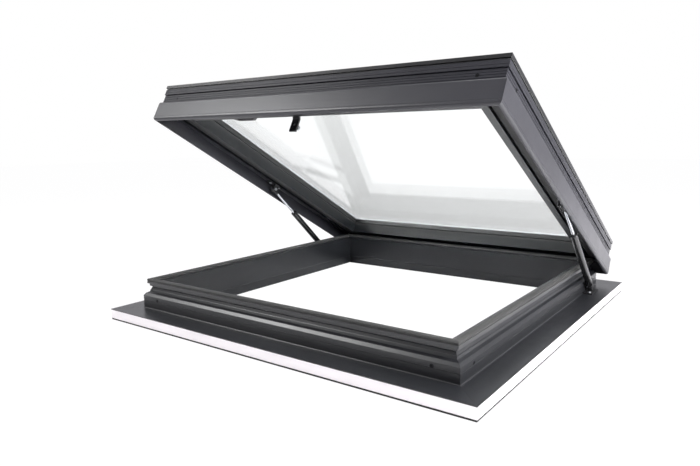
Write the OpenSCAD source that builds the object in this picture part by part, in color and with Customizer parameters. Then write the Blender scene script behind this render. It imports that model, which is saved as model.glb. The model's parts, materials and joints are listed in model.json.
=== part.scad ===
// Hinged flat-roof skylight on a low kerb: an aluminium kerb frame on packing boards, a glazed sash
// hinged at the rear, two gas struts at the sides, a pull handle and a turn latch at the front.
// The sash is drawn closed, then swung up about its hinge by open_angle.

/* [Overall] */
// Width of the kerb flange, left to right
width = 1000; // [700:1:1600]
// Depth of the kerb flange, front to rear
depth = 1000; // [700:1:1600]
// How far the sash stands open, up to the struts' end stop
open_angle = 28.6; // [5:0.1:32]
// Gap left at each mitred corner
mitre_gap = 0.3; // [0:0.1:1]

/* [Kerb] */
// Thickness of the foam sealing tape under the boards
tape_t = 3.5; // [1:0.5:6]
// Thickness of the packing boards under the flange
board_t = 22; // [12:1:60]
// Thickness of the flange plate
flange_t = 1.5; // [1:0.5:4]
// Distance from the flange's edge to the kerb wall's outer face
overhang = 58; // [50:1:120]
// Wall thickness of the kerb, from its outer to its inner face
kerb_wall = 35; // [35:1:80]
// Height of the kerb wall's ledge above the flange
ledge_h = 32; // [28:1:60]
// Height of the kerb's top plate above the flange
kerb_h = 67; // [66:1:110]
// Sheet thickness of the kerb's aluminium sections
kerb_sheet = 2; // [1.5:0.5:2.5]

/* [Sash] */
// Gap between the kerb wall and the inside of the sash skirt
side_gap = 25; // [24.5:0.5:40]
// Sheet thickness of the skirt
skirt_t = 2.5; // [2:0.5:3]
// Height of the skirt
skirt_h = 52; // [46:1:90]
// How far the sash's inner face stands in from the kerb's inner face
inner_step = 7; // [5:0.5:12]
// Gap between the closed sash seal and the kerb seal
seal_gap = 0.5; // [0.3:0.1:2]

/* [Glazing] */
// Thickness of the outer pane
outer_pane_t = 8; // [4:1:12]
// Thickness of the inner pane
inner_pane_t = 8; // [4:1:12]
// Gap between the two panes
pane_gap = 18; // [10:1:24]

/* [Hinges and struts] */
// Distance of each hinge from the middle of the rear side
hinge_x = 300; // [150:5:300]
// Diameter of the hinge pins
hinge_pin_d = 6; // [5:0.5:8]
// Diameter of a strut's tube
tube_d = 18; // [15:0.5:18]
// Diameter of a strut's rod
rod_d = 8; // [6:0.5:8]
// Distance from a strut's lower pivot to the top of its tube
tube_reach = 250; // [200:1:270]
// Diameter of the ball at a strut's foot
foot_ball_d = 10; // [8:1:10]
// Diameter of the ball at a strut's head
head_ball_d = 8; // [6:1:8]

/* [Fittings] */
// Distance between the pull handle's screws
handle_span = 100; // [80:1:160]
// How far the pull handle stands off the frame
handle_reach = 20; // [18:1:50]
// Width of the striker bar
striker_w = 20; // [16:1:30]
// Diameter of the fitting screws' shanks
screw_d = 5; // [4:0.5:5]

/* [Hidden] */
$fn = 48;

// Clearances
running = 0.05;    // radial gap of a pin or rod in its bore
screw_slack = 0.1; // extra diameter of a screw hole
cleat_slack = 0.3; // gap of a corner cleat in its chamber
step_gap = 0.3;    // gap between separate pieces that lie side by side

// Levels above the underside of the tape
flange_top = tape_t + board_t + flange_t;
board_top = tape_t + board_t;
kerb_top = flange_top + kerb_h;

// Kerb section, as distances in from the flange's edge
wall_u = overhang;
liner_u = overhang + kerb_wall;
lip_u = wall_u + 7.6;
rail_back = wall_u + 0.6 * kerb_wall;
seal_h = 8;
fillet_r = 3;
board_inset = 1;

// Sash section, as distances in from the skirt's face and up from the skirt's bottom edge
sash_inset = overhang - side_gap - skirt_t;
sash_w = width - 2 * sash_inset;
sash_d = depth - 2 * sash_inset;
inner_face = liner_u + inner_step - sash_inset;
hem_r = 7;
hem_t = 4;
web_h = skirt_h - 16;
web_t = 2.5;
band_in = 5.5;
top_band_in = 3.5;
groove_h = skirt_h + 21;
band_top = skirt_h + 39;
rail_in = 20;
break_w = 6;
foot_h = web_h - 2;
foot_gap = 5;
inner_top = foot_h + 27;
channel_h = foot_h + 8;
channel_out = rail_in + break_w + 2.5;
channel_in = inner_face - 15.5;
gasket_h = 6;
inner_pane_h = inner_top + gasket_h;
spacer_h = inner_pane_h + inner_pane_t;
outer_pane_h = spacer_h + pane_gap;
bed_h = outer_pane_h - band_top;
inner_pane_in = inner_face - 33.5;
spacer_w = 12;
sash_z = kerb_top + foot_gap - foot_h;
seal_bottom = kerb_top + seal_h + seal_gap - sash_z;

// Hinge line at the rear, in the gap between the kerb wall and the skirt
hinge_y = depth / 2 - wall_u - 2;
hinge_z = sash_z + 8.4;
knuckle_r = 6;
hinge_leaf_l = 64;
hinge_knuckle_l = 28;
leaf_t = 3;
hinge_screw_dx = 22;

// Struts, on the right side; the left one is its mirror image
strut_x = width / 2 - wall_u + 11;
foot_y = depth / 2 - 162;
foot_z = flange_top + 13;
head_closed_y = sash_d / 2 - 466;
head_h = 20;
head_dy = (head_closed_y - hinge_y) * cos(open_angle) + (sash_z + head_h - hinge_z) * sin(open_angle);
head_dz = (hinge_y - head_closed_y) * sin(open_angle) + (sash_z + head_h - hinge_z) * cos(open_angle);
head_y = hinge_y + head_dy;
head_z = hinge_z + head_dz;
strut_angle = atan2(head_z - foot_z, foot_y - head_y);
strut_len = norm([head_z - foot_z, foot_y - head_y]);
tube_wall = 1.2;
guide_l = 14;
socket_r = tube_d / 2;
socket_wall = 1.5;
head_cup_r = socket_r - 1.7; // wide enough for the head ball to wander 3 mm
piston_l = 10;
stud_d = 5;
foot_plate_x = width / 2 - wall_u + leaf_t;
foot_plate = [35, 28];
foot_screw_y = foot_y + 19;
foot_leg_w = 24;
foot_leg_y = [foot_y - 33, foot_y + 28];
foot_screw_z = [flange_top + 8.5, flange_top + 23.5];
head_tab_x = strut_x - 6.2;
head_plate_l = 60;
head_screw_dl = 20;
head_screw_us = 15;
head_plate_us = [skirt_t + 2.5, rail_in + 4];

// Front fittings
handle_x = -225;
handle_h = 45.5;
handle_bar = 11;
striker_x = -50;
striker_bolt_h = 15;
striker_top = inner_top - 1;
latch_x = striker_x + 28;
latch_z = flange_top + 20;
cam_y = -sash_d / 2 + inner_face + 9.8;
case_size = [50, 32];
case_t = 6.5;
cam_t = 4;
latch_reach = norm([latch_x - striker_x, sash_z + striker_bolt_h - latch_z]);
bolt_shank_d = 6;
hook_in = latch_reach + bolt_shank_d / 2 + 0.5;
hook_out = hook_in + 5.5;
hook_start = 8;
hook_end = 48;
spindle_d = 8;
lever_l = 58;

// Screws
head_screw_d = screw_d * 1.8;
head_screw_t = 2.8;
corner_screw_kerb = 113;
corner_screw_kerb_h = 24;
corner_screw_sash = 59.5;
corner_screw_sash_h = skirt_h + 10.5;
cleat_leg = 70;

function arc(cx, cy, r, a0, a1, n = 6) =
    [for (i = [0:n]) [cx + r * cos(a0 + (a1 - a0) * i / n), cy + r * sin(a0 + (a1 - a0) * i / n)]];
function between(a, b, t) = a + (b - a) * t;
function raise(pts, dz) = [for (p = pts) [p[0], p[1] + dz]];
function box2(u0, z0, u1, z1) = [[u0, z0], [u1, z0], [u1, z1], [u0, z1]];

// One side of a rectangular frame: a section swept along it and mitred at both ends.
// side 0 is the front, 1 the right, 2 the rear and 3 the left.
module rail(side, w, d, pts, chambers = [], gap = mitre_gap) {
    along = side % 2 == 0 ? w : d;
    across = side % 2 == 0 ? d : w;
    slip = gap / sqrt(2);
    out = 5;
    deep = 150;
    rotate([0, 0, 90 * side])
        intersection() {
            translate([0, -across / 2, 0])
                rotate([90, 0, 90])
                    linear_extrude(along + 4 * out, center = true)
                        difference() {
                            polygon(pts);
                            for (c = chambers) polygon(c);
                        }
            translate([0, 0, -20])
                linear_extrude(400)
                    polygon([
                        [-along / 2 - out + slip, -across / 2 - out],
                        [along / 2 + out - slip, -across / 2 - out],
                        [along / 2 - deep - slip, -across / 2 + deep],
                        [-along / 2 + deep + slip, -across / 2 + deep]]);
        }
}

// A frame made in one piece, such as a seal with welded corners
module ring(w, d, pts) {
    for (side = [0:3]) rail(side, w, d, pts, gap = 0);
}

// The sash, swung up about the hinge line
module opened() {
    translate([0, hinge_y, hinge_z])
        rotate([-open_angle, 0, 0])
            translate([0, -hinge_y, -hinge_z])
                children();
}

module left_and_right() {
    for (m = [0, 1]) mirror([m, 0, 0]) children();
}

// Kerb sections

recess_low = [wall_u + 11, ledge_h + 9];
recess_top = [wall_u + 16.5, kerb_h - 13.5];

function kerb_rail_pts() = raise(concat(
    [[0, -flange_t], [0, 0]],
    arc(wall_u - fillet_r, fillet_r, fillet_r, -90, 0, 5),
    [[wall_u, 20], [wall_u + 0.6, 20.4], [wall_u + 0.6, 21.2], [wall_u, 21.6],
     [wall_u, ledge_h], [wall_u + 4.6, ledge_h + 6], [wall_u + 7.4, ledge_h + 7.2],
     recess_low, between(recess_low, recess_top, 0.36),
     between(recess_low, recess_top, 0.36) + [-0.8, 0.3],
     between(recess_low, recess_top, 0.46) + [-0.8, -0.1],
     between(recess_low, recess_top, 0.46), recess_top,
     [wall_u + 11.7, kerb_h - 11], [wall_u + 11.7, kerb_h - 5.5],
     [lip_u, kerb_h - 4.5], [lip_u, kerb_h], [rail_back, kerb_h], [rail_back, -flange_t]]),
    flange_top);

function kerb_rail_chamber() = raise(
    [[wall_u + kerb_sheet, 1], [rail_back - kerb_sheet, 1], [rail_back - kerb_sheet, kerb_h - 19],
     [wall_u + 16.8, kerb_h - 20], [wall_u + 13, ledge_h + 6.5], [wall_u + 6, ledge_h + 3.6],
     [wall_u + kerb_sheet, ledge_h - 1]],
    flange_top);

function kerb_liner_pts() = concat(
    [[liner_u - kerb_sheet, tape_t], [liner_u - 0.8, tape_t], [liner_u - 0.8, board_top]],
    raise([[liner_u, 0], [liner_u, kerb_h], [rail_back + 1, kerb_h],
           [rail_back + 1, kerb_h - kerb_sheet], [liner_u - kerb_sheet, kerb_h - kerb_sheet]],
        flange_top));

module kerb_rail(side) {
    color("#3a3d42")
        difference() {
            rail(side, width, depth, kerb_rail_pts(), [kerb_rail_chamber()]);
            at_kerb_corner_screws() countersunk_hole();
            at_kerb_fitting_screws() screw_hole();
        }
}

module kerb_liner(side) {
    color("#33363b")
        difference() {
            rail(side, width, depth, kerb_liner_pts());
            at_kerb_fitting_screws() screw_hole();
        }
}

module packing_board(side) {
    color("#f2eeee")
        difference() {
            rail(side, width, depth, box2(board_inset, tape_t, liner_u - kerb_sheet, board_top));
            at_foot_leg_screws() screw_hole();
        }
}

module sealing_tape() {
    color("#222222")
        for (side = [0:3]) rail(side, width, depth, box2(board_inset, 0, liner_u - 5, tape_t));
}

module kerb_insulation() {
    color("#e4d9a0")
        difference() {
            union() {
                for (side = [0:3])
                    rail(side, width, depth,
                        box2(rail_back, board_top, liner_u - kerb_sheet, kerb_top - kerb_sheet));
            }
            at_kerb_fitting_screws() screw_hole();
        }
}

module kerb_seal() {
    color("#2b2d2c")
        ring(width, depth, raise(
            [[lip_u + 0.6, 0], [lip_u + 1.4, 1], [lip_u + 0.2, 2.2], [lip_u + 0.2, seal_h - 2.4],
             [lip_u + 2, seal_h - 0.7], [lip_u + 5.5, seal_h], [lip_u + 10, seal_h - 0.2],
             [lip_u + 13.5, seal_h - 1.6], [lip_u + 15.5, seal_h - 4.4], [lip_u + 16, 1.6],
             [lip_u + 16, 0]], kerb_top));
}

module cleat(w, d, u0, u1, z0, z1, leg) {
    for (mx = [0, 1], my = [0, 1])
        mirror([mx, 0, 0]) mirror([0, my, 0])
            translate([w / 2, d / 2, z0])
                linear_extrude(z1 - z0)
                    polygon([[-u0, -u0], [-u0, -u0 - leg], [-u1, -u0 - leg], [-u1, -u1],
                             [-u0 - leg, -u1], [-u0 - leg, -u0]]);
}

module kerb_corner_cleats() {
    color("#9a9ca0")
        difference() {
            cleat(width, depth, wall_u + kerb_sheet + cleat_slack, rail_back - kerb_sheet - cleat_slack,
                flange_top + 1 + cleat_slack, flange_top + ledge_h - 1 - cleat_slack, cleat_leg);
            at_kerb_corner_screws() countersunk_hole();
        }
}

// Screws: each stands at the origin, its head above z = 0 and its shank below

module pan_screw(len) {
    difference() {
        union() {
            cylinder(d = head_screw_d, h = head_screw_t * 0.6);
            translate([0, 0, head_screw_t * 0.6])
                cylinder(d1 = head_screw_d, d2 = head_screw_d * 0.7, h = head_screw_t * 0.4);
            translate([0, 0, -len]) cylinder(d = screw_d, h = len + 0.5);
        }
        for (a = [0, 90])
            rotate([0, 0, a])
                translate([-screw_d * 0.5, -0.6, head_screw_t * 0.45]) cube([screw_d, 1.2, 4]);
    }
}

module screw_hole() {
    translate([0, 0, -30]) cylinder(d = screw_d + screw_slack, h = 31);
}

module countersunk_screw(len) {
    sink = 0.3;
    difference() {
        union() {
            translate([0, 0, -sink - 1.8]) cylinder(d1 = screw_d, d2 = screw_d * 1.7, h = 1.8);
            translate([0, 0, -len]) cylinder(d = screw_d, h = len - sink - 1.5);
        }
        for (a = [0, 90])
            rotate([0, 0, a])
                translate([-screw_d * 0.5, -0.5, -sink - 1.1]) cube([screw_d, 1, 4]);
    }
}

module countersunk_hole() {
    sink = 0.3;
    translate([0, 0, -30]) cylinder(d = screw_d + 2 * screw_slack, h = 31);
    translate([0, 0, -sink - 1.8])
        cylinder(d1 = screw_d + 2 * screw_slack, d2 = screw_d * 1.7 + 2 * screw_slack, h = 1.8);
    translate([0, 0, -sink]) cylinder(d = screw_d * 1.7 + 2 * screw_slack, h = 2);
}

// Two screws on every side of a frame, one near each corner
module at_corner_screws(w, d, u, z, from_corner) {
    for (side = [0:3], s = [-1, 1]) {
        along = side % 2 == 0 ? w : d;
        across = side % 2 == 0 ? d : w;
        rotate([0, 0, 90 * side])
            translate([s * (along / 2 - from_corner), -across / 2 + u, z])
                rotate([90, 0, 0]) children();
    }
}

module at_kerb_corner_screws() {
    at_corner_screws(width, depth, wall_u, flange_top + corner_screw_kerb_h, corner_screw_kerb)
        children();
}

module at_sash_corner_screws() {
    at_corner_screws(sash_w, sash_d, band_in, sash_z + corner_screw_sash_h, corner_screw_sash)
        children();
}

// Pan-head screws of the hinge base leaves, the strut feet and the latch case
module at_kerb_fitting_screws() {
    for (m = [-1, 1], s = [-1, 1])
        translate([m * hinge_x + s * hinge_screw_dx, depth / 2 - wall_u + leaf_t, flange_top + 15])
            rotate([-90, 0, 0]) children();
    left_and_right()
        for (z = foot_screw_z)
            translate([foot_plate_x, foot_screw_y, z])
                rotate([0, 90, 0]) children();
    at_foot_leg_screws() children();
    for (s = [-1, 1])
        translate([latch_x + s * (case_size[0] / 2 - 8), -depth / 2 + liner_u + case_t, latch_z])
            rotate([-90, 0, 0]) children();
}

module at_foot_leg_screws() {
    left_and_right()
        translate([width / 2 - wall_u + 15, foot_y - 23, flange_top + leaf_t]) children();
}

// Pan-head screws of the handle, the striker, the strut heads and the hinge sash leaves,
// in the closed sash
module at_sash_fitting_screws() {
    for (s = [-1, 1])
        translate([handle_x + s * handle_span / 2, -sash_d / 2 + inner_face + 4, sash_z + handle_h])
            rotate([-90, 0, 0]) children();
    for (h = [inner_top - 7, inner_top - 18])
        translate([striker_x, -sash_d / 2 + inner_face + 4, sash_z + h])
            rotate([-90, 0, 0]) children();
    left_and_right()
        for (s = [-1, 1])
            translate([sash_w / 2 - head_screw_us, head_closed_y + s * head_screw_dl,
                       sash_z + web_h - leaf_t])
                rotate([180, 0, 0]) children();
    for (m = [-1, 1], s = [-1, 1])
        translate([m * hinge_x + s * hinge_screw_dx, sash_d / 2 - 13, sash_z + web_h - leaf_t])
            rotate([180, 0, 0]) children();
}

module kerb_corner_screws() {
    color("#1c1c1e") at_kerb_corner_screws() countersunk_screw(14);
}

module kerb_fitting_screws() {
    color("#c9ccd0") at_kerb_fitting_screws() pan_screw(12);
}

module sash_corner_screws() {
    color("#1c1c1e") opened() at_sash_corner_screws() countersunk_screw(10);
}

module sash_fitting_screws() {
    color("#c9ccd0") opened() at_sash_fitting_screws() pan_screw(8);
}

// Hinges, in the gap at the rear

module hinge_base_leaves() {
    wall_y = depth / 2 - wall_u;
    color("#2c2e31")
        difference() {
            for (m = [-1, 1]) translate([m * hinge_x, 0, 0]) {
                difference() {
                    union() {
                        translate([-hinge_leaf_l / 2, wall_y, flange_top + fillet_r + 1])
                            cube([hinge_leaf_l, leaf_t, hinge_z - flange_top - fillet_r - 2]);
                        translate([-hinge_leaf_l / 2, hinge_y, hinge_z])
                            rotate([0, 90, 0]) cylinder(r = knuckle_r, h = hinge_leaf_l);
                    }
                    translate([-hinge_knuckle_l / 2 - step_gap, hinge_y - knuckle_r - 1,
                               hinge_z - knuckle_r - 1])
                        cube([hinge_knuckle_l + 2 * step_gap, 2 * knuckle_r + 6, 2 * knuckle_r + 2]);
                    translate([-hinge_leaf_l, hinge_y, hinge_z])
                        rotate([0, 90, 0])
                            cylinder(d = hinge_pin_d + running, h = 2 * hinge_leaf_l);
                }
            }
            at_kerb_fitting_screws() screw_hole();
        }
}

module hinge_pins() {
    color("#b9bcc0")
        for (m = [-1, 1])
            translate([m * hinge_x - hinge_leaf_l / 2 - 1, hinge_y, hinge_z])
                rotate([0, 90, 0]) {
                    cylinder(d = hinge_pin_d, h = hinge_leaf_l + 2);
                    translate([0, 0, -1]) cylinder(d = hinge_pin_d + 3, h = 1.7);
                }
}

module hinge_sash_leaves() {
    skirt_y = sash_d / 2 - skirt_t;
    arm_t = 4;
    web_z = sash_z + web_h;
    color("#2c2e31")
        opened()
            difference() {
                for (m = [-1, 1]) translate([m * hinge_x, 0, 0]) {
                    translate([-hinge_leaf_l / 2, 0, 0])
                        rotate([90, 0, 90])
                            linear_extrude(hinge_leaf_l)
                                polygon([[skirt_y - step_gap, web_z],
                                         [skirt_y - 17, web_z],
                                         [skirt_y - 17, web_z - leaf_t],
                                         [skirt_y - step_gap - leaf_t, web_z - leaf_t],
                                         [skirt_y - step_gap - leaf_t, hinge_z - arm_t / 2],
                                         [skirt_y - step_gap, hinge_z - arm_t / 2]]);
                    difference() {
                        translate([-hinge_knuckle_l / 2, 0, 0]) {
                            translate([0, hinge_y, hinge_z - arm_t / 2])
                                cube([hinge_knuckle_l, skirt_y - step_gap - hinge_y, arm_t]);
                            translate([0, hinge_y, hinge_z])
                                rotate([0, 90, 0]) cylinder(r = knuckle_r, h = hinge_knuckle_l);
                        }
                        translate([-hinge_leaf_l, hinge_y, hinge_z])
                            rotate([0, 90, 0])
                                cylinder(d = hinge_pin_d + 2 * running, h = 2 * hinge_leaf_l);
                    }
                }
                at_sash_fitting_screws() screw_hole();
            }
}

// Sash sections

function rib(u, h) = [[u, h], [u + 0.6, h + 0.4], [u + 0.6, h + 1], [u, h + 1.4]];

function sash_rail_pts() = raise(concat(
    [[hem_r, hem_t]],
    arc(hem_r, hem_r, hem_r, -90, -180, 8),
    [[0, hem_r + 1.6], [0.4, hem_r + 2.0], [0.4, hem_r + 2.6], [0, hem_r + 3.0]],
    arc(4, skirt_h - 4, 4, 180, 90, 5),
    [[band_in, skirt_h]], rib(band_in, skirt_h + 3.5), rib(band_in, skirt_h + 9),
    rib(band_in, skirt_h + 14.5),
    [[band_in, groove_h], [band_in + 3.5, groove_h], [band_in + 3.5, groove_h + 2],
     [top_band_in, groove_h + 2]],
    rib(top_band_in, groove_h + 7),
    [[top_band_in, band_top - 1.5], [top_band_in + 1, band_top], [rail_in, band_top],
     [rail_in, web_h], [skirt_t, web_h], [skirt_t, hem_t + 2], [skirt_t + 2, hem_t]]), sash_z);

function sash_rail_chamber() = raise(
    [[8, web_h + web_t], [rail_in - 2.5, web_h + web_t], [rail_in - 2.5, band_top - 2.5],
     [top_band_in + 2.5, band_top - 2.5], [top_band_in + 2.5, groove_h + 4.5],
     [band_in + 6, groove_h + 4.5], [band_in + 6, groove_h - 2.5], [8, groove_h - 2.5]], sash_z);

function sash_inner_pts() = raise(
    [[rail_in + break_w, foot_h], [channel_out, foot_h], [channel_out, channel_h],
     [channel_in, channel_h], [channel_in, foot_h], [inner_face, foot_h],
     [inner_face, inner_top], [rail_in + break_w, inner_top]], sash_z);

function sash_inner_chamber() = raise(
    [[channel_out, channel_h + 2.5], [channel_in + 2.5, channel_h + 2.5],
     [channel_in + 2.5, foot_h + 2.5], [inner_face - 2.5, foot_h + 2.5],
     [inner_face - 2.5, inner_top - 2.5], [channel_out, inner_top - 2.5]], sash_z);

module sash_rail(side) {
    color("#5d5f64")
        opened()
            difference() {
                rail(side, sash_w, sash_d, sash_rail_pts(), [sash_rail_chamber()]);
                at_sash_corner_screws() countersunk_hole();
                at_sash_fitting_screws() screw_hole();
            }
}

module sash_inner(side) {
    color("#3f4246")
        opened()
            difference() {
                rail(side, sash_w, sash_d, sash_inner_pts(), [sash_inner_chamber()]);
                at_sash_fitting_screws() screw_hole();
            }
}

module sash_thermal_breaks() {
    color("#1a1a1a")
        opened()
            for (side = [0:3])
                rail(side, sash_w, sash_d,
                    raise(box2(rail_in, channel_h + 4, rail_in + break_w, inner_top - 3), sash_z));
}

module sash_corner_cleats() {
    color("#9a9ca0")
        opened()
            difference() {
                cleat(sash_w, sash_d, 8 + cleat_slack, rail_in - 2.5 - cleat_slack,
                    sash_z + web_h + web_t + cleat_slack, sash_z + groove_h - 3, cleat_leg);
                at_sash_corner_screws() countersunk_hole();
            }
}

module sash_seal() {
    u0 = channel_out + 1.5;
    u1 = channel_in - 2;
    color("#141414")
        opened()
            ring(sash_w, sash_d, raise(
                [[u0, channel_h], [u1, channel_h], [u1, seal_bottom + 2], [u1 - 4, seal_bottom],
                 [u0 + 4, seal_bottom], [u0, seal_bottom + 2]], sash_z));
}

// Glazing

module pane(inset, h, t) {
    opened()
        translate([-sash_w / 2 + inset, -sash_d / 2 + inset, sash_z + h])
            cube([sash_w - 2 * inset, sash_d - 2 * inset, t]);
}

module outer_pane() {
    color("#cfdfe4", 0.35) pane(3, outer_pane_h, outer_pane_t);
}

module inner_pane() {
    color("#cfdfe4", 0.35) pane(inner_pane_in, inner_pane_h, inner_pane_t);
}

module glazing_ring(u0, u1, h0, h1) {
    opened() ring(sash_w, sash_d, raise(box2(u0, h0, u1, h1), sash_z));
}

module pane_spacer() {
    color("#2e2f31")
        glazing_ring(inner_face - 1.5 - spacer_w, inner_face - 1.5, spacer_h, outer_pane_h);
}

module pane_edge_seal() {
    color("#161616")
        glazing_ring(inner_pane_in, inner_face - 1.5 - spacer_w, spacer_h, outer_pane_h);
}

module glazing_bed() {
    color("#161616") glazing_ring(top_band_in + 1.5, rail_in - 1, band_top, outer_pane_h);
}

module glazing_gasket() {
    color("#1b1c1d") glazing_ring(inner_face - 13.5, inner_face - 1, inner_top, inner_pane_h);
}

// Front fittings

// A low bow with a straight grip, between two screwed feet
module pull_handle() {
    half = handle_span / 2;
    grip = half / 2;
    bar_t = 6;
    color("#1d1d1f")
        opened()
            translate([handle_x, -sash_d / 2 + inner_face, sash_z + handle_h])
                difference() {
                    union() {
                        for (s = [-1, 1])
                            translate([s * half, 0, 0])
                                rotate([-90, 0, 0]) cylinder(d = 16, h = 4);
                        translate([0, 0, -handle_bar / 2])
                            linear_extrude(handle_bar)
                                polygon([[-half, 0], [-half, 4], [-half + 4, 7],
                                         [-grip - 4, handle_reach - 1], [-grip, handle_reach],
                                         [grip, handle_reach], [grip + 4, handle_reach - 1],
                                         [half - 4, 7], [half, 4], [half, 0], [half - 9, 0],
                                         [grip, handle_reach - bar_t], [-grip, handle_reach - bar_t],
                                         [-half + 9, 0]]);
                    }
                    for (s = [-1, 1])
                        translate([s * half, 4, 0]) rotate([-90, 0, 0]) {
                            translate([0, 0, -5]) cylinder(d = screw_d + screw_slack, h = 6);
                            cylinder(d = head_screw_d + 0.6, h = 30);
                        }
                }
}

module striker_bar() {
    face = inner_face;
    color("#17171a")
        opened()
            difference() {
                translate([striker_x - striker_w / 2, -sash_d / 2, sash_z])
                    rotate([90, 0, 90])
                        linear_extrude(striker_w)
                            polygon([[face, striker_top], [face + 4, striker_top],
                                     [face + 4, foot_h + 3], [face + 7.5, foot_h - 4],
                                     [face + 7.5, -1], [face + 3.5, -1],
                                     [face + 3.5, foot_h - 5.5], [face, foot_h + 1.5]]);
                at_sash_fitting_screws() screw_hole();
                translate([striker_x, -sash_d / 2 + face, sash_z + striker_bolt_h])
                    rotate([-90, 0, 0]) cylinder(d = bolt_shank_d + screw_slack, h = 20);
            }
}

module striker_bolt() {
    back = inner_face + 7.5;
    shank = 9;
    head_t = 4;
    color("#c4c7ca")
        opened()
            translate([striker_x, -sash_d / 2 + back, sash_z + striker_bolt_h])
                rotate([-90, 0, 0]) {
                    translate([0, 0, -3.8]) cylinder(d = bolt_shank_d, h = 3.8 + shank);
                    translate([0, 0, shank]) cylinder(d = 11.5, h = head_t, $fn = 6);
                }
}

module latch_case() {
    face_y = -depth / 2 + liner_u;
    color("#1f2022")
        difference() {
            union() {
                translate([latch_x - case_size[0] / 2, face_y, latch_z - case_size[1] / 2])
                    cube([case_size[0], case_t, case_size[1]]);
                translate([latch_x, face_y + 1, latch_z])
                    rotate([-90, 0, 0]) cylinder(r = 9, h = cam_y - step_gap - face_y - 1);
            }
            translate([latch_x, face_y + 1, latch_z])
                rotate([-90, 0, 0]) cylinder(d = spindle_d + 2 * running, h = cam_y - face_y);
            at_kerb_fitting_screws() screw_hole();
        }
}

// A hooked plate that swings over the striker's bolt
module latch_cam() {
    arm = 8;
    color("#b4b7ba")
        translate([latch_x, cam_y + cam_t, latch_z])
            rotate([90, 0, 0])
                linear_extrude(cam_t)
                    difference() {
                        union() {
                            circle(r = 11);
                            rotate(hook_start) translate([0, -arm / 2]) square([hook_in + 1, arm]);
                            polygon(concat(arc(0, 0, hook_out, hook_start - 5, hook_end, 16),
                                           arc(0, 0, hook_in, hook_end, hook_start - 5, 16)));
                        }
                        circle(d = spindle_d + 2 * running);
                    }
}

module latch_lever() {
    hub_y = cam_y + cam_t + step_gap;
    spindle_l = hub_y + depth / 2 - liner_u;
    color("#1d1d1f")
        translate([latch_x, hub_y, latch_z])
            rotate([-90, 0, 0]) {
                cylinder(r = 10, h = 9);
                translate([0, 0, 1.5 - spindle_l]) cylinder(d = spindle_d, h = spindle_l);
                difference() {
                    union() {
                        translate([0, -6, 3]) cube([lever_l, 12, 6]);
                        translate([lever_l, 0, 3]) cylinder(r = 6, h = 6);
                    }
                    translate([0, 0, -1]) cylinder(r = 9, h = 8);
                }
            }
}

// Struts

module at_strut(x = strut_x) {
    translate([x, foot_y, foot_z]) rotate([90 - strut_angle, 0, 0]) children();
}

module strut_foot_brackets() {
    color("#2c2e31")
        left_and_right()
            difference() {
                union() {
                    translate([foot_plate_x - leaf_t, foot_y - 7, flange_top + fillet_r])
                        cube([leaf_t, foot_plate[0], foot_plate[1] - fillet_r]);
                    translate([width / 2 - wall_u, foot_leg_y[1], flange_top])
                        rotate([90, 0, 0])
                            linear_extrude(foot_leg_y[1] - foot_leg_y[0])
                                polygon([[0, fillet_r], [fillet_r, 0], [foot_leg_w, 0],
                                         [foot_leg_w, leaf_t], [leaf_t, leaf_t],
                                         [leaf_t, fillet_r + 1], [0, fillet_r + 1]]);
                }
                at_foot_leg_screws() screw_hole();
                translate([0, foot_y, foot_z]) rotate([0, 90, 0])
                    cylinder(d = stud_d + screw_slack, h = width);
                right_foot_screw_holes();
            }
}

module right_foot_screw_holes() {
    for (z = foot_screw_z)
        translate([foot_plate_x, foot_screw_y, z]) rotate([0, 90, 0]) screw_hole();
}

module strut_foot_studs() {
    color("#b9bcc0")
        left_and_right()
            translate([0, foot_y, foot_z]) {
                translate([strut_x, 0, 0]) sphere(d = foot_ball_d);
                rotate([0, 90, 0]) {
                    translate([0, 0, foot_plate_x - leaf_t + 0.1])
                        cylinder(d = stud_d, h = strut_x - foot_plate_x + leaf_t);
                    translate([0, 0, foot_plate_x]) cylinder(d = 9, h = 1.8, $fn = 6);
                }
            }
}

// Cup that turns on the foot ball, with a neck for the tube's lower end
module tube_socket(dir) {
    mouth = strut_x - 5.6;
    depth_in = strut_x + foot_ball_d / 2 + 0.2 - mouth;
    color("#161616")
        scale_x(dir)
            difference() {
                union() {
                    translate([mouth, foot_y, foot_z])
                        rotate([0, 90, 0]) cylinder(r = socket_r, h = depth_in + socket_wall);
                    at_strut() cylinder(r = socket_r - 2.2, h = 16);
                }
                translate([mouth - 3, foot_y, foot_z])
                    rotate([0, 90, 0])
                        cylinder(d = foot_ball_d + 2 * running, h = depth_in + 3);
            }
}

module scale_x(dir) {
    mirror([dir < 0 ? 1 : 0, 0, 0]) children();
}

module strut_tube(dir) {
    base = 16;
    color("#141416")
        scale_x(dir)
            at_strut()
                difference() {
                    union() {
                        translate([0, 0, base]) cylinder(d = tube_d, h = tube_reach - base - 1.5);
                        translate([0, 0, tube_reach - 1.5])
                            cylinder(d1 = tube_d, d2 = tube_d - 3, h = 1.5);
                    }
                    translate([0, 0, base + 4])
                        cylinder(d = tube_d - 2 * tube_wall, h = tube_reach - base - 4 - guide_l);
                    translate([0, 0, base + 4])
                        cylinder(d = rod_d + 2 * running, h = tube_reach);
                }
}

module strut_rod(dir) {
    top = strut_len - socket_r + 1.2;
    stop = tube_reach - guide_l - 0.5;
    color("#c2c4c8")
        scale_x(dir)
            at_strut() {
                translate([0, 0, stop - 2]) cylinder(d = rod_d, h = top - stop + 2);
                translate([0, 0, stop - piston_l])
                    cylinder(d = tube_d - 2 * tube_wall - 0.2, h = piston_l);
            }
}

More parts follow.
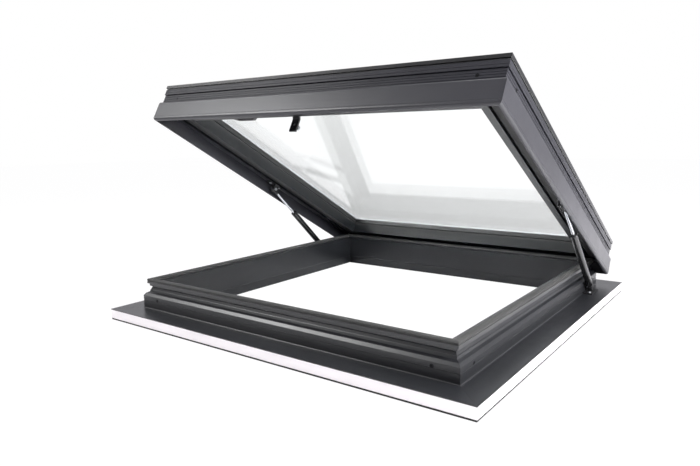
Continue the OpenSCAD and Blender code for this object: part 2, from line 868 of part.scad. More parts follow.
// Cup round the head ball; the ball has room to wander in it
module rod_socket(dir) {
    mouth = strut_x - 5.7;
    cup_l = 11.5;
    color("#161616")
        scale_x(dir)
            difference() {
                union() {
                    translate([mouth, head_y, head_z])
                        rotate([0, 90, 0]) cylinder(r = socket_r, h = cup_l);
                    at_strut() translate([0, 0, strut_len - socket_r - 12])
                        cylinder(d = rod_d + 4, h = 14);
                }
                translate([mouth - 3, head_y, head_z])
                    rotate([0, 90, 0]) cylinder(r = head_cup_r, h = cup_l - socket_wall + 3);
                at_strut() translate([0, 0, strut_len - socket_r - 13])
                    cylinder(d = rod_d + 2 * running, h = 14.2);
            }
}

// Plate under the sash web, with a tab that carries the ball stud
module strut_head_brackets() {
    web_z = sash_z + web_h;
    color("#1a1b1d")
        opened()
            difference() {
                left_and_right() {
                    translate([sash_w / 2 - head_plate_us[1], head_closed_y - head_plate_l / 2,
                               web_z - leaf_t])
                        cube([head_plate_us[1] - head_plate_us[0], head_plate_l, leaf_t]);
                    difference() {
                        translate([head_tab_x - leaf_t, head_closed_y - 10, sash_z + head_h - 9])
                            cube([leaf_t, 20, web_h - head_h + 9]);
                        translate([0, head_closed_y, sash_z + head_h]) rotate([0, 90, 0])
                            cylinder(d = stud_d + screw_slack, h = width);
                    }
                }
                at_sash_fitting_screws() screw_hole();
            }
}

module strut_head_studs() {
    color("#b9bcc0")
        opened()
            left_and_right()
                translate([0, head_closed_y, sash_z + head_h]) {
                    translate([strut_x, 0, 0]) sphere(d = head_ball_d);
                    rotate([0, 90, 0]) {
                        translate([0, 0, head_tab_x - leaf_t - 3])
                            cylinder(d = stud_d, h = strut_x - head_tab_x + leaf_t + 3);
                        translate([0, 0, head_tab_x - leaf_t - 2.5]) cylinder(d = 10, h = 2.5, $fn = 6);
                    }
                }
}

sealing_tape();
packing_board(0);  // packing_board_front
packing_board(1);  // packing_board_right
packing_board(2);  // packing_board_rear
packing_board(3);  // packing_board_left
kerb_rail(0);  // kerb_rail_front
kerb_rail(1);  // kerb_rail_right
kerb_rail(2);  // kerb_rail_rear
kerb_rail(3);  // kerb_rail_left
kerb_liner(0);  // kerb_liner_front
kerb_liner(1);  // kerb_liner_right
kerb_liner(2);  // kerb_liner_rear
kerb_liner(3);  // kerb_liner_left
kerb_insulation();
kerb_seal();
kerb_corner_cleats();
kerb_corner_screws();
kerb_fitting_screws();
hinge_base_leaves();
hinge_pins();
strut_foot_brackets();
strut_foot_studs();
latch_case();
latch_cam();
latch_lever();
sash_rail(0);  // sash_rail_front
sash_rail(1);  // sash_rail_right
sash_rail(2);  // sash_rail_rear
sash_rail(3);  // sash_rail_left
sash_inner(0);  // sash_inner_front
sash_inner(1);  // sash_inner_right
sash_inner(2);  // sash_inner_rear
sash_inner(3);  // sash_inner_left
sash_thermal_breaks();
sash_corner_cleats();
sash_corner_screws();
sash_fitting_screws();
sash_seal();
outer_pane();
inner_pane();
pane_spacer();
pane_edge_seal();
glazing_bed();
glazing_gasket();
pull_handle();
striker_bar();
striker_bolt();
hinge_sash_leaves();
strut_head_brackets();
strut_head_studs();
strut_tube(-1);  // strut_tube_left
strut_tube(1);  // strut_tube_right
tube_socket(-1);  // strut_tube_socket_left
tube_socket(1);  // strut_tube_socket_right
strut_rod(-1);  // strut_rod_left
strut_rod(1);  // strut_rod_right
rod_socket(-1);  // strut_rod_socket_left
rod_socket(1);  // strut_rod_socket_right
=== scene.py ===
"""Finishes and studio for a hinged flat-roof skylight on its kerb."""

import json
import math

import bmesh
import bpy
from bpy.props import FloatProperty, FloatVectorProperty, PointerProperty
from bpy.types import Operator, Panel, PropertyGroup
from mathutils import Matrix, Vector


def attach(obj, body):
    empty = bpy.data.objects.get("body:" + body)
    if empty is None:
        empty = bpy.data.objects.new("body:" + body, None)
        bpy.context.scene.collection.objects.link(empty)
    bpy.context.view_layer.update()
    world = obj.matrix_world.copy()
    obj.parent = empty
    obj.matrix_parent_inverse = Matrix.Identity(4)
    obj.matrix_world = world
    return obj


bl_info = {
    "name": "Flat-roof Skylight",
    "version": (1, 0, 0),
    "blender": (4, 5, 0),
    "location": "View3D > Sidebar > Skylight",
    "description": "Finishes, glass border and studio for a hinged skylight",
    "category": "Object",
}

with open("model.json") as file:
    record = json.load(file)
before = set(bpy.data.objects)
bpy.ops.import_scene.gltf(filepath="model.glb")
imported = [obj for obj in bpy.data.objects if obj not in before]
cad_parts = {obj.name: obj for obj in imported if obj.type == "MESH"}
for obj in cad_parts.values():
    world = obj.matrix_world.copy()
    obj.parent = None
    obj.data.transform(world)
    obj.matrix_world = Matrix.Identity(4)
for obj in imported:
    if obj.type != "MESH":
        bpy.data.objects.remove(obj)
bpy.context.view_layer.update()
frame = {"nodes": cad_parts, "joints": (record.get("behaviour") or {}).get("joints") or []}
NODES = frame["nodes"]
MM = 0.001

# Hinge line and opening angle of the sash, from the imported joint
SASH_JOINT = next(j for j in frame["joints"] if j["name"] == "sash_hinge")
HINGE = Vector(SASH_JOINT["pos_m"])
OPEN_ANGLE = math.radians(-SASH_JOINT["range_deg"][0])

# The border lies this deep in the pane, and as far in from its edge; the strip stands off the edge
BORDER_DEPTH = 0.6 * MM
STRIP_GAP = 0.1 * MM

# Height above the hinge line, sash closed, of the butyl line's top on the spacer, in mm
BUTYL_TOP = 80

# The sash's ribbed bands, as heights above the hinge line, and the ribs' pitch and depth, all in
# mm; RIB_IOR is how little they reflect
RIBBED = (44, 82)
RIB_PITCH = 1.8
RIB_DEPTH = 0.05
RIB_IOR = 1.27

# Studio, in metres: the floor and its gap under the skylight, where the lit paper begins behind
# it, and the edge past which the surroundings are dim (a place on it and the way off to its left)
FLOOR_HALF = 12
FLOOR_GAP = 0.0005
LIT_PAPER_FROM = (0.786, 1.357)
EDGE_PLACE = (0.48, 0.2, 0.0)
LEFT_OF_EDGE = (-0.964, 0.267, 0.0)
SEEN_FLOOR_WHITE = 0.97
ROOM_SHARE = 0.16


# ---------------------------------------------------------------- helpers

def linear(code):
    """An sRGB hex colour as linear RGBA."""
    channels = [int(code[i:i + 2], 16) / 255 for i in (1, 3, 5)]
    return [c / 12.92 if c <= 0.04045 else ((c + 0.055) / 1.055) ** 2.4 for c in channels] + [1.0]


def hex_prop(label, description, code):
    """A colour property that shows the hex colour."""
    srgb = [int(code[i:i + 2], 16) / 255 for i in (1, 3, 5)]
    return FloatVectorProperty(name=label, description=description, subtype="COLOR_GAMMA",
                               size=3, min=0, max=1, default=srgb)


def picked(colour):
    """A colour property's value as linear RGBA."""
    code = "#" + "".join(f"{round(c * 255):02x}" for c in colour)
    return linear(code)


def shade(rgba, factor):
    return [min(1.0, c * factor) for c in rgba[:3]] + [1.0]


def new_material(name):
    """An empty node material and its output."""
    material = bpy.data.materials.new(name)
    material.use_nodes = True
    tree = material.node_tree
    tree.nodes.clear()
    return material, tree


def add(tree, kind, values=None, links=None, **settings):
    """Adds a node with its settings, socket values and incoming links."""
    node = tree.nodes.new(kind)
    for key, value in settings.items():
        setattr(node, key, value)
    for key, value in (values or {}).items():
        node.inputs[key].default_value = value
    for key, source in (links or {}).items():
        tree.links.new(source, node.inputs[key])
    return node


def object_coords(tree, turn=0.0, centre=(0, 0, 0)):
    """Object coordinates about a centre, turned about X, so a pattern can lie in the sash's plane."""
    coords = add(tree, "ShaderNodeTexCoord")
    moved = add(tree, "ShaderNodeVectorMath", {1: centre}, {0: coords.outputs["Object"]},
                operation="SUBTRACT")
    return add(tree, "ShaderNodeMapping", {"Rotation": (turn, 0, 0)},
               {"Vector": moved.outputs[0]}, vector_type="POINT").outputs[0]


def tone(tree, fac, low, high, span=(0.35, 0.65)):
    """A two-colour ramp driven by a pattern."""
    ramp = add(tree, "ShaderNodeValToRGB", links={"Fac": fac})
    ramp.color_ramp.elements[0].position = span[0]
    ramp.color_ramp.elements[1].position = span[1]
    ramp.color_ramp.elements[0].color = low
    ramp.color_ramp.elements[1].color = high
    return ramp.outputs["Color"]


def span_value(tree, fac, low, high):
    """A pattern stretched between two values."""
    return add(tree, "ShaderNodeMapRange", {"To Min": low, "To Max": high},
               {"Value": fac}).outputs[0]


def surface(tree, shader):
    add(tree, "ShaderNodeOutputMaterial", links={"Surface": shader})


def noise(tree, vector, size_mm, detail=2.0):
    """Noise whose blotches are about size_mm across."""
    return add(tree, "ShaderNodeTexNoise", {"Scale": 1 / (size_mm * MM), "Detail": detail},
               {"Vector": vector}).outputs["Fac"]


# ---------------------------------------------------------------- materials

def powder_coat(name, rgba, rough=0.34, peel_mm=2.2, peel=0.05, drift=0.1, turn=0.0, ior=1.5,
                ribbed=None):
    """Polyester powder coat on extruded aluminium, baked on: a satin skin with faint orange peel.
    The peel is really under a millimetre and is drawn at 2 mm so that it shows.
    ribbed is the stretch, as heights above the hinge line with the sash closed, whose ribs are
    too fine to model. They shade each other, so it reflects less."""
    material, tree = new_material(name)
    coords = object_coords(tree, turn, tuple(HINGE) if turn else (0, 0, 0))
    cloud = noise(tree, coords, 140, 3)
    grain = noise(tree, coords, peel_mm)
    colour = tone(tree, cloud, shade(rgba, 1 - drift), shade(rgba, 1 + drift))
    roughness = span_value(tree, noise(tree, coords, 35, 3), rough - 0.05, rough + 0.06)
    height = add(tree, "ShaderNodeMath", {1: peel_mm * MM * peel}, {0: grain},
                 operation="MULTIPLY").outputs[0]
    links = {"Base Color": colour, "Roughness": roughness}
    if ribbed:
        upright = add(tree, "ShaderNodeSeparateXYZ", links={0: coords}).outputs["Z"]
        above = add(tree, "ShaderNodeMath", {1: ribbed[0] * MM}, {0: upright},
                    operation="GREATER_THAN").outputs[0]
        below = add(tree, "ShaderNodeMath", {1: ribbed[1] * MM}, {0: upright},
                    operation="LESS_THAN").outputs[0]
        inside = add(tree, "ShaderNodeMath", links={0: above, 1: below},
                     operation="MULTIPLY").outputs[0]
        wave = add(tree, "ShaderNodeMath", {1: 2 * math.pi / (RIB_PITCH * MM)}, {0: upright},
                   operation="MULTIPLY").outputs[0]
        wave = add(tree, "ShaderNodeMath", links={0: wave}, operation="SINE").outputs[0]
        wave = add(tree, "ShaderNodeMath", links={0: wave, 1: inside},
                   operation="MULTIPLY").outputs[0]
        height = add(tree, "ShaderNodeMath", {1: RIB_DEPTH * MM}, {0: wave, 2: height},
                     operation="MULTIPLY_ADD").outputs[0]
        links["IOR"] = span_value(tree, inside, ior, RIB_IOR)
    bump = add(tree, "ShaderNodeBump", {"Strength": 1.0, "Distance": 1.0}, {"Height": height})
    skin = add(tree, "ShaderNodeBsdfPrincipled", {"IOR": ior},
               links | {"Normal": bump.outputs[0]})
    surface(tree, skin.outputs[0])
    return material


def rubber(name, rgba, rough=0.72, turn=0.0):
    """Extruded EPDM, a matt rubber with a faint bloom and a fine grain."""
    material, tree = new_material(name)
    coords = object_coords(tree, turn, tuple(HINGE) if turn else (0, 0, 0))
    bloom = noise(tree, coords, 60, 4)
    grain = noise(tree, coords, 1.6, 3)
    colour = tone(tree, bloom, shade(rgba, 0.8), shade(rgba, 1.35), (0.3, 0.75))
    roughness = span_value(tree, bloom, rough - 0.08, rough + 0.08)
    height = add(tree, "ShaderNodeMath", {1: 0.1 * MM}, {0: grain}, operation="MULTIPLY").outputs[0]
    bump = add(tree, "ShaderNodeBump", {"Strength": 1.0, "Distance": 1.0}, {"Height": height})
    skin = add(tree, "ShaderNodeBsdfPrincipled", {"IOR": 1.52},
               {"Base Color": colour, "Roughness": roughness, "Normal": bump.outputs[0]})
    surface(tree, skin.outputs[0])
    return material


def foam(name, rgba, cell_mm, rough, depth_mm, tone_and_pit_shade=0.08):
    """Foamed plastic with a closed skin: fine cells, drawn no smaller than they can show."""
    material, tree = new_material(name)
    coords = object_coords(tree)
    cells = add(tree, "ShaderNodeTexVoronoi", {"Scale": 1 / (cell_mm * MM)}, {"Vector": coords})
    cloud = noise(tree, coords, 90, 3)
    base = tone(tree, cloud, shade(rgba, 1 - tone_and_pit_shade), shade(rgba, 1 + tone_and_pit_shade / 2))
    # Each cell is darker in its hollow, where the bump sinks: painted shade.
    pit_shade = tone(tree, cells.outputs["Distance"], shade(rgba, 1 - 2 * tone_and_pit_shade), rgba, (0.0, 0.3))
    mix = add(tree, "ShaderNodeMixRGB", {"Fac": 0.4}, {"Color1": base, "Color2": pit_shade})
    height = add(tree, "ShaderNodeMath", {1: depth_mm * MM}, {0: cells.outputs["Distance"]},
                 operation="MULTIPLY").outputs[0]
    bump = add(tree, "ShaderNodeBump", {"Strength": 1.0, "Distance": 1.0}, {"Height": height})
    skin = add(tree, "ShaderNodeBsdfPrincipled", {"Roughness": rough, "IOR": 1.5},
               {"Base Color": mix.outputs[0], "Normal": bump.outputs[0]})
    surface(tree, skin.outputs[0])
    return material


def plated_steel(name, rgba, rough, scratch_mm=1.2):
    """Zinc-plated or ground steel: bright metal with fine turning marks and slightly uneven gloss."""
    material, tree = new_material(name)
    coords = object_coords(tree)
    fine = noise(tree, coords, scratch_mm, 3)
    cloud = noise(tree, coords, 6, 2)
    colour = tone(tree, cloud, shade(rgba, 0.86), shade(rgba, 1.06))
    roughness = span_value(tree, fine, rough - 0.06, rough + 0.1)
    height = add(tree, "ShaderNodeMath", {1: 0.02 * MM}, {0: fine}, operation="MULTIPLY").outputs[0]
    bump = add(tree, "ShaderNodeBump", {"Strength": 1.0, "Distance": 1.0}, {"Height": height})
    skin = add(tree, "ShaderNodeBsdfPrincipled", {"Metallic": 1.0},
               {"Base Color": colour, "Roughness": roughness, "Normal": bump.outputs[0]})
    surface(tree, skin.outputs[0])
    return material


def moulded_plastic(name, rgba, rough=0.45, grain_mm=1.2):
    """Glass-filled nylon, injection moulded: black, low sheen, with a fine spark-eroded grain."""
    material, tree = new_material(name)
    coords = object_coords(tree)
    grain = noise(tree, coords, grain_mm, 2)
    cloud = noise(tree, coords, 25, 2)
    colour = tone(tree, cloud, shade(rgba, 0.9), shade(rgba, 1.2))
    roughness = span_value(tree, grain, rough - 0.06, rough + 0.08)
    height = add(tree, "ShaderNodeMath", {1: 0.06 * MM}, {0: grain}, operation="MULTIPLY").outputs[0]
    bump = add(tree, "ShaderNodeBump", {"Strength": 1.0, "Distance": 1.0}, {"Height": height})
    skin = add(tree, "ShaderNodeBsdfPrincipled", {"IOR": 1.5},
               {"Base Color": colour, "Roughness": roughness, "Normal": bump.outputs[0]})
    surface(tree, skin.outputs[0])
    return material


def float_glass(name, rgba):
    """Clear float glass: mirror-smooth, with a coating that keeps it from mirroring much. It lets
    lamps through."""
    material, tree = new_material(name)
    clear = add(tree, "ShaderNodeBsdfPrincipled",
                {"Base Color": rgba, "Roughness": 0.0, "IOR": 1.26, "Transmission Weight": 1.0})
    open_air = add(tree, "ShaderNodeBsdfTransparent", {"Color": rgba})
    rays = add(tree, "ShaderNodeLightPath")
    both = add(tree, "ShaderNodeMixShader", links={"Fac": rays.outputs["Is Shadow Ray"],
                                                   1: clear.outputs[0], 2: open_air.outputs[0]})
    surface(tree, both.outputs[0])
    return material


def spacer_bar(name, rgba, butyl):
    """Rolled aluminium spacer, satin, with the black butyl line that seals it to the inner pane."""
    material, tree = new_material(name)
    coords = object_coords(tree, OPEN_ANGLE, tuple(HINGE))
    upright = add(tree, "ShaderNodeSeparateXYZ", links={0: coords}).outputs["Z"]
    edge = add(tree, "ShaderNodeMath", {1: BUTYL_TOP * MM}, {0: upright},
               operation="GREATER_THAN").outputs[0]
    colour = tone(tree, edge, butyl, rgba, (0.4, 0.6))
    roughness = span_value(tree, noise(tree, coords, 3, 2), 0.3, 0.45)
    skin = add(tree, "ShaderNodeBsdfPrincipled", {"IOR": 1.5},
               {"Base Color": colour, "Roughness": roughness})
    surface(tree, skin.outputs[0])
    return material


def enamel(name, rgba):
    """Black ceramic enamel fired on the glass, seen through it: even, dense and slightly glossy."""
    material, tree = new_material(name)
    coords = object_coords(tree)
    cloud = noise(tree, coords, 40, 2)
    colour = tone(tree, cloud, shade(rgba, 0.9), shade(rgba, 1.15))
    roughness = span_value(tree, cloud, 0.3, 0.4)
    skin = add(tree, "ShaderNodeBsdfPrincipled", {"IOR": 1.5},
               {"Base Color": colour, "Roughness": roughness})
    surface(tree, skin.outputs[0])
    return material


# ---------------------------------------------------------------- settings

class SkylightFinish(PropertyGroup):
    """Colours of the skylight's finishes."""
    kerb: hex_prop("Kerb", "Powder coat of the kerb sections", "#1c1d20")
    sash: hex_prop("Sash", "Powder coat of the sash's outer sections", "#27272c")
    # The sash's own anthracite, drawn far darker than the outer sections: the extra darkness is painted
    # shade for the shade under the sash.
    sash_inner: hex_prop("Sash inside", "Powder coat of the sash's inner sections", "#0e1012")
    board: hex_prop("Packing board", "White foam board under the flange", "#e3dfe1")
    tape: hex_prop("Tape", "Black foam tape under the boards", "#1a1a1b")
    seal: hex_prop("Kerb seal", "Rubber seal on the kerb", "#282828")
    black_rubber: hex_prop("Black rubber", "Sash seal, gaskets and sealant", "#141415")
    hardware: hex_prop("Hardware", "Black coated steel brackets and striker", "#161618")
    plastic: hex_prop("Plastic", "Handle, lever and strut ends", "#19191b")
    steel: hex_prop("Bright steel", "Screws, studs and strut rods", "#c9cbcf")
    glass: hex_prop("Glass", "Tint of the panes", "#feffff")
    enamel: hex_prop("Enamel", "Printed border of the outer pane", "#101012")


class SkylightSizes(PropertyGroup):
    """Sizes of what is added to the frame."""
    border_width: FloatProperty(name="Glass border", description="Width of the enamelled border",
                                default=64 * MM, min=20 * MM, max=120 * MM, unit="LENGTH")
    border_thickness: FloatProperty(name="Border thickness",
                                    description="Drawn thickness of the enamel",
                                    default=0.2 * MM, min=0.05 * MM, max=1 * MM, unit="LENGTH")
    strip_thickness: FloatProperty(name="Edge strip", description="Black strip round the pane's edge",
                                   default=0.9 * MM, min=0.3 * MM, max=2 * MM, unit="LENGTH")


class StudioSettings(PropertyGroup):
    """Camera and lights."""
    lens: FloatProperty(name="Lens", description="Focal length on a 36 mm wide sensor",
                        default=30.9, min=15, max=120)
    key_power: FloatProperty(name="Key light", description="Power of the upper left soft light",
                             default=58, min=0, unit="POWER")
    rear_power: FloatProperty(name="Rear light", description="Power of the rear right soft light",
                              default=14, min=0, unit="POWER")
    right_power: FloatProperty(name="Right light", description="Power of the near right soft light",
                               default=50, min=0, unit="POWER")
    top_power: FloatProperty(name="Top light", description="Power of the overhead soft light",
                             default=60, min=0, unit="POWER")
    sky: FloatProperty(name="Surroundings", description="Brightness of the pale surroundings",
                       default=1.0, min=0)
    paper_glow: FloatProperty(name="Paper behind", description="Brightness of the lit paper",
                              default=1.6, min=0)
    right_side: FloatProperty(name="Right side", description="Share of it left at the right",
                              default=0.5, min=0, max=1)


# ---------------------------------------------------------------- operators

def dress(names, material):
    """Gives CAD nodes a material."""
    for name in names:
        slots = NODES[name].material_slots
        if not slots:
            NODES[name].data.materials.append(material)
        for slot in slots:
            slot.material = material


def named(*starts):
    return [n for n in NODES if n.startswith(starts)]


class SKYLIGHT_OT_kerb(Operator):
    """Finish the kerb sections, boards, tape, insulation and kerb seal"""
    bl_idname = "skylight.kerb"
    bl_label = "Kerb Finishes"

    def execute(self, context):
        look = context.scene.skylight_finish
        kerb = picked(look.kerb)
        dress(named("kerb_rail"), powder_coat("kerb_powder_coat", kerb))
        # The liners carry the kerb's own coat, drawn darker and less glossy: the darkening is painted
        # shade for the shade inside the kerb.
        dress(named("kerb_liner"), powder_coat("liner_powder_coat", shade(kerb, 0.7), ior=1.37))
        dress(named("packing_board"), foam("pvc_foam_board", picked(look.board), 2.5, 0.45, 0.05, 0.03))
        dress(["sealing_tape"], foam("foam_tape", picked(look.tape), 1.5, 0.85, 0.3, 0.2))
        dress(["kerb_insulation"], foam("insulation_foam", linear("#d8cfa4"), 2.0, 0.9, 0.3))
        dress(["kerb_seal"], rubber("kerb_epdm", picked(look.seal)))
        return {"FINISHED"}


class SKYLIGHT_OT_sash(Operator):
    """Finish the sash sections, thermal breaks, seals and gaskets"""
    bl_idname = "skylight.sash"
    bl_label = "Sash Finishes"

    def execute(self, context):
        look = context.scene.skylight_finish
        dress(named("sash_rail"), powder_coat("sash_powder_coat", picked(look.sash), rough=0.36,
                                              turn=OPEN_ANGLE, ribbed=RIBBED))
        # Inner sections: the sash's own anthracite, darker and less glossy; the darkening is painted
        # shade under the sash.
        dress(named("sash_inner"), powder_coat("sash_inner_powder_coat", picked(look.sash_inner),
                                               turn=OPEN_ANGLE, ior=1.38))
        dress(["sash_thermal_breaks"], moulded_plastic("polyamide_strip", linear("#161617"), 0.6))
        black = rubber("black_rubber", picked(look.black_rubber), turn=OPEN_ANGLE)
        dress(["sash_seal", "glazing_gasket"], black)
        dress(["pane_edge_seal", "glazing_bed"],
              rubber("sealant", picked(look.black_rubber), 0.5, turn=OPEN_ANGLE))
        dress(["pane_spacer"], spacer_bar("spacer_bar", linear("#a6a7aa"),
                                          picked(look.black_rubber)))
        return {"FINISHED"}


class SKYLIGHT_OT_glass(Operator):
    """Finish the panes and add the enamelled border inside the outer pane"""
    bl_idname = "skylight.glass"
    bl_label = "Glass"

    def execute(self, context):
        look = context.scene.skylight_finish
        sizes = context.scene.skylight_sizes
        glass = float_glass("clear_float_glass", picked(look.glass))
        dress(["outer_pane", "inner_pane"], glass)
        to_closed = (Matrix.Translation(HINGE) @ Matrix.Rotation(OPEN_ANGLE, 4, "X")
                     @ Matrix.Translation(-HINGE))
        corners = [to_closed @ v.co for v in NODES["outer_pane"].data.vertices]
        low = Vector([min(c[i] for c in corners) for i in range(3)])
        high = Vector([max(c[i] for c in corners) for i in range(3)])
        edge = BORDER_DEPTH
        black = enamel("ceramic_enamel", picked(look.enamel))
        border = pane_ring(low, high, -edge, sizes.border_width, low.z + edge,
                           sizes.border_thickness)
        strip = pane_ring(low, high, sizes.strip_thickness, sizes.strip_thickness - STRIP_GAP,
                          low.z, high.z - low.z)
        for name, ring in (("glass_border", border), ("glass_edge_strip", strip)):
            bmesh.ops.transform(ring, matrix=to_closed.inverted(), verts=ring.verts)
            finished(ring, name, black, "sash")
        return {"FINISHED"}


def pane_ring(low, high, beyond, width, base, height):
    """A flat ring along the closed pane's outline: its outer side lies beyond the pane's edge."""
    bm = bmesh.new()
    bmesh.ops.create_grid(bm, x_segments=1, y_segments=1, size=0.5)
    bmesh.ops.scale(bm, vec=(high.x - low.x + 2 * beyond, high.y - low.y + 2 * beyond, 1),
                    verts=bm.verts)
    made = bmesh.ops.inset_region(bm, faces=bm.faces[:], thickness=width, use_even_offset=True,
                                  use_boundary=True)
    inner = [f for f in bm.faces if f not in made["faces"]]
    bmesh.ops.delete(bm, geom=inner, context="FACES")
    bmesh.ops.translate(bm, vec=((low.x + high.x) / 2, (low.y + high.y) / 2, base), verts=bm.verts)
    bmesh.ops.solidify(bm, geom=bm.faces[:], thickness=-height)
    bmesh.ops.recalc_face_normals(bm, faces=bm.faces[:])
    return bm


def finished(bm, name, material, body):
    """Turns a bmesh into a piece that rides on a body."""
    mesh = bpy.data.meshes.new(name)
    bm.to_mesh(mesh)
    bm.free()
    mesh.materials.append(material)
    piece = bpy.data.objects.new(name, mesh)
    bpy.context.scene.collection.objects.link(piece)
    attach(piece, body)
    return piece


class SKYLIGHT_OT_fittings(Operator):
    """Finish the hinges, struts, handle, striker, latch and screws"""
    bl_idname = "skylight.fittings"
    bl_label = "Fittings"

    def execute(self, context):
        look = context.scene.skylight_finish
        steel = picked(look.steel)
        dress(["kerb_fitting_screws", "sash_fitting_screws", "hinge_pins", "strut_foot_studs",
               "strut_head_studs", "striker_bolt"], plated_steel("bright_zinc_steel", steel, 0.28))
        dress(["latch_cam"], plated_steel("dull_zinc_steel", shade(steel, 0.8), 0.38))
        dress(named("kerb_corner_cleats", "sash_corner_cleats"),
              plated_steel("mill_aluminium", linear("#b4b6ba"), 0.45))
        dress(named("kerb_corner_screws", "sash_corner_screws"),
              plated_steel("blackened_steel", linear("#2a2a2c"), 0.4))
        dress(["strut_rod_left", "strut_rod_right"], plated_steel("ground_steel", steel, 0.2, 0.8))
        dress(["hinge_base_leaves", "hinge_sash_leaves", "strut_foot_brackets",
               "strut_head_brackets", "striker_bar", "latch_case"],
              powder_coat("black_coated_steel", picked(look.hardware), rough=0.4, peel_mm=1.5))
        dress(["strut_tube_left", "strut_tube_right"],
              powder_coat("strut_black_paint", linear("#0e0e10"), rough=0.24, peel_mm=1.5, peel=0.02))
        dress(["pull_handle", "latch_lever"] + named("strut_tube_socket", "strut_rod_socket"),
              moulded_plastic("black_nylon", picked(look.plastic)))
        return {"FINISHED"}


def aim(obj, target):
    """Turns a lamp's -Z towards a point."""
    direction = Vector(target) - obj.location
    obj.rotation_euler = direction.to_track_quat("-Z", "Y").to_euler()


def soft_light(name, place, target, size, power, colour="#ffffff"):
    lamp = bpy.data.lights.new(name, "AREA")
    lamp.shape = "RECTANGLE"
    lamp.size, lamp.size_y = size
    lamp.energy = power
    lamp.color = linear(colour)[:3]
    obj = bpy.data.objects.new(name, lamp)
    obj.location = place
    aim(obj, target)
    bpy.context.scene.collection.objects.link(obj)
    return obj


def looking_straight(tree):
    """1 for what the eye sees directly or through glass, 0 for light that falls on the skylight."""
    rays = add(tree, "ShaderNodeLightPath")
    return add(tree, "ShaderNodeMath", links={0: rays.outputs["Is Camera Ray"],
                                              1: rays.outputs["Is Transmission Ray"]},
               operation="MAXIMUM").outputs[0]


def past_edge(tree, place, soft_low, soft_high, low=0.0):
    """How far a place lies past the edge that runs away from the eye at the right of the view."""
    across = add(tree, "ShaderNodeVectorMath", {1: LEFT_OF_EDGE}, {0: place},
                 operation="DOT_PRODUCT")
    return add(tree, "ShaderNodeMapRange",
               {"From Min": soft_low, "From Max": soft_high, "To Min": low, "To Max": 1.0},
               {"Value": across.outputs["Value"]}).outputs[0]


def floor_paper(glow):
    """White paper. The eye sees it evenly white, and the skylight is lit by a duller one, with a
    strip behind the skylight, up to an edge at the right, that lies in the rear light."""
    material, tree = new_material("white_floor")
    paint = add(tree, "ShaderNodeBsdfDiffuse", {"Color": linear("#f0eff1")})
    place = add(tree, "ShaderNodeTexCoord").outputs["Object"]
    beyond = add(tree, "ShaderNodeSeparateXYZ", links={0: place})
    beyond = add(tree, "ShaderNodeMapRange",
                 {"From Min": LIT_PAPER_FROM[0], "From Max": LIT_PAPER_FROM[1]},
                 {"Value": beyond.outputs["Y"]})
    edge = add(tree, "ShaderNodeVectorMath", {1: EDGE_PLACE}, {0: place}, operation="SUBTRACT")
    share = add(tree, "ShaderNodeMath", links={0: beyond.outputs[0],
                                               1: past_edge(tree, edge.outputs[0], -0.05, 0.05)},
                operation="MULTIPLY")
    share = add(tree, "ShaderNodeMath", {1: glow}, {0: share.outputs[0]}, operation="MULTIPLY")
    shine = add(tree, "ShaderNodeEmission", {"Color": linear("#f6f3fb")},
                {"Strength": share.outputs[0]})
    paint = add(tree, "ShaderNodeAddShader", links={0: paint.outputs[0], 1: shine.outputs[0]})
    seen = add(tree, "ShaderNodeBsdfDiffuse", {"Color": linear("#3c3b3d")})
    white = add(tree, "ShaderNodeEmission", {"Color": linear("#ffffff"),
                                             "Strength": SEEN_FLOOR_WHITE})
    lit = add(tree, "ShaderNodeAddShader", links={0: seen.outputs[0], 1: white.outputs[0]})
    both = add(tree, "ShaderNodeMixShader", links={"Fac": looking_straight(tree),
                                                   1: paint.outputs[0], 2: lit.outputs[0]})
    surface(tree, both.outputs[0])
    return material


def studio_floor(glow):
    bm = bmesh.new()
    bmesh.ops.create_grid(bm, x_segments=1, y_segments=1, size=FLOOR_HALF)
    bmesh.ops.translate(bm, vec=(0, 0, -FLOOR_GAP), verts=bm.verts)
    mesh = bpy.data.meshes.new("studio_floor")
    bm.to_mesh(mesh)
    bm.free()
    mesh.materials.append(floor_paper(glow))
    floor = bpy.data.objects.new("studio_floor", mesh)
    bpy.context.scene.collection.objects.link(floor)


def surroundings(sky, right_side):
    """White where the eye looks. For the skylight: white behind, dimmer past an edge at the right
    and where the room behind the eye is."""
    world = bpy.data.worlds.new("studio_surroundings")
    world.use_nodes = True
    tree = world.node_tree
    tree.nodes.clear()
    way = add(tree, "ShaderNodeTexCoord").outputs["Generated"]
    behind = add(tree, "ShaderNodeSeparateXYZ", links={0: way}).outputs["Y"]
    rear = add(tree, "ShaderNodeMapRange", {"From Min": -0.7, "From Max": 0.4,
                                            "To Min": ROOM_SHARE, "To Max": 1.0},
               {"Value": behind})
    whole = add(tree, "ShaderNodeMath", links={0: past_edge(tree, way, -0.04, 0.03, right_side),
                                               1: rear.outputs[0]}, operation="MULTIPLY")
    power = add(tree, "ShaderNodeMath", {1: sky}, {0: whole.outputs[0]}, operation="MULTIPLY")
    light = add(tree, "ShaderNodeBackground", {"Color": linear("#fbfaff")},
                {"Strength": power.outputs[0]})
    backdrop = add(tree, "ShaderNodeBackground", {"Color": linear("#ffffff"), "Strength": 1.0})
    both = add(tree, "ShaderNodeMixShader", links={"Fac": looking_straight(tree),
                                                   1: light.outputs[0], 2: backdrop.outputs[0]})
    add(tree, "ShaderNodeOutputWorld", links={"Surface": both.outputs[0]})
    bpy.context.scene.world = world


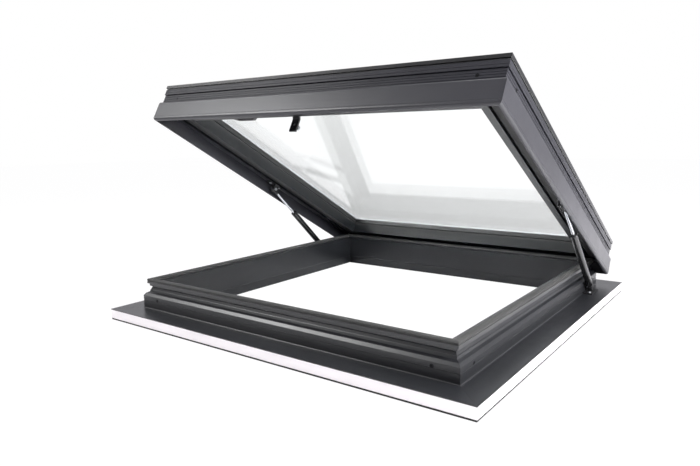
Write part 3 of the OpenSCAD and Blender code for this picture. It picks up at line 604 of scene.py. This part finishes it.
class SKYLIGHT_OT_stage(Operator):
    """Set up the pale floor, soft lights, surroundings and camera"""
    bl_idname = "skylight.stage"
    bl_label = "Studio"

    def execute(self, context):
        studio = context.scene.skylight_studio
        scene = context.scene
        scene.view_settings.view_transform = "Standard"
        scene.view_settings.look = "None"
        studio_floor(studio.paper_glow)
        surroundings(studio.sky, studio.right_side)

        soft_light("key_light", (-1.8, -1.8, 1.8), (-0.1, -0.4, 0.5), (1.0, 1.0), studio.key_power)
        soft_light("rear_light", (2.6, 1.0, 0.55), (0.4, 0.3, 0.2), (0.9, 0.7), studio.rear_power)
        soft_light("right_light", (1.5, -0.3, 0.95), (0.47, 0, 0.05), (0.7, 0.7), studio.right_power)
        soft_light("top_light", (0.3, 0.6, 3.0), (0.2, 0, 0), (2.4, 2.4), studio.top_power)

        camera = bpy.data.cameras.new("camera")
        camera.sensor_width = 36
        camera.lens = studio.lens
        camera.clip_start = 0.01
        eye = bpy.data.objects.new("camera", camera)
        eye.matrix_world = camera_matrix((0.8662, -1.3366, 0.4443), -36.13, 8.81, 0.68)
        scene.collection.objects.link(eye)
        scene.camera = eye
        return {"FINISHED"}


def camera_matrix(place, yaw, pitch, roll):
    """A camera pose from its place and its yaw from +Y, its pitch down and its roll, in degrees."""
    yaw, pitch, roll = (math.radians(a) for a in (yaw, pitch, roll))
    ahead = Vector((math.sin(yaw) * math.cos(pitch), math.cos(yaw) * math.cos(pitch),
                    -math.sin(pitch)))
    right = Vector((math.cos(yaw), -math.sin(yaw), 0))
    down = ahead.cross(right)
    across = math.cos(roll) * right + math.sin(roll) * down
    below = -math.sin(roll) * right + math.cos(roll) * down
    turn = Matrix((across, -below, -ahead)).transposed().to_4x4()
    return Matrix.Translation(place) @ turn


class SKYLIGHT_PT_panel(Panel):
    """Skylight settings"""
    bl_idname = "SKYLIGHT_PT_panel"
    bl_label = "Skylight"
    bl_space_type = "VIEW_3D"
    bl_region_type = "UI"
    bl_category = "Skylight"

    def draw(self, context):
        scene = context.scene
        for group in (scene.skylight_finish, scene.skylight_sizes, scene.skylight_studio):
            column = self.layout.column(align=True)
            for key in group.__annotations__:
                column.prop(group, key)
        for operator in STEPS:
            self.layout.operator(operator.bl_idname)


STEPS = (SKYLIGHT_OT_stage, SKYLIGHT_OT_kerb, SKYLIGHT_OT_sash, SKYLIGHT_OT_glass,
         SKYLIGHT_OT_fittings)
CLASSES = (SkylightFinish, SkylightSizes, StudioSettings) + STEPS + (SKYLIGHT_PT_panel,)


def register():
    for cls in CLASSES:
        bpy.utils.register_class(cls)
    bpy.types.Scene.skylight_finish = PointerProperty(type=SkylightFinish)
    bpy.types.Scene.skylight_sizes = PointerProperty(type=SkylightSizes)
    bpy.types.Scene.skylight_studio = PointerProperty(type=StudioSettings)


def unregister():
    del bpy.types.Scene.skylight_studio
    del bpy.types.Scene.skylight_sizes
    del bpy.types.Scene.skylight_finish
    for cls in reversed(CLASSES):
        bpy.utils.unregister_class(cls)


def main():
    register()
    bpy.ops.skylight.stage()
    bpy.ops.skylight.kerb()
    bpy.ops.skylight.sash()
    bpy.ops.skylight.glass()
    bpy.ops.skylight.fittings()


if __name__ == "__main__":
    main()
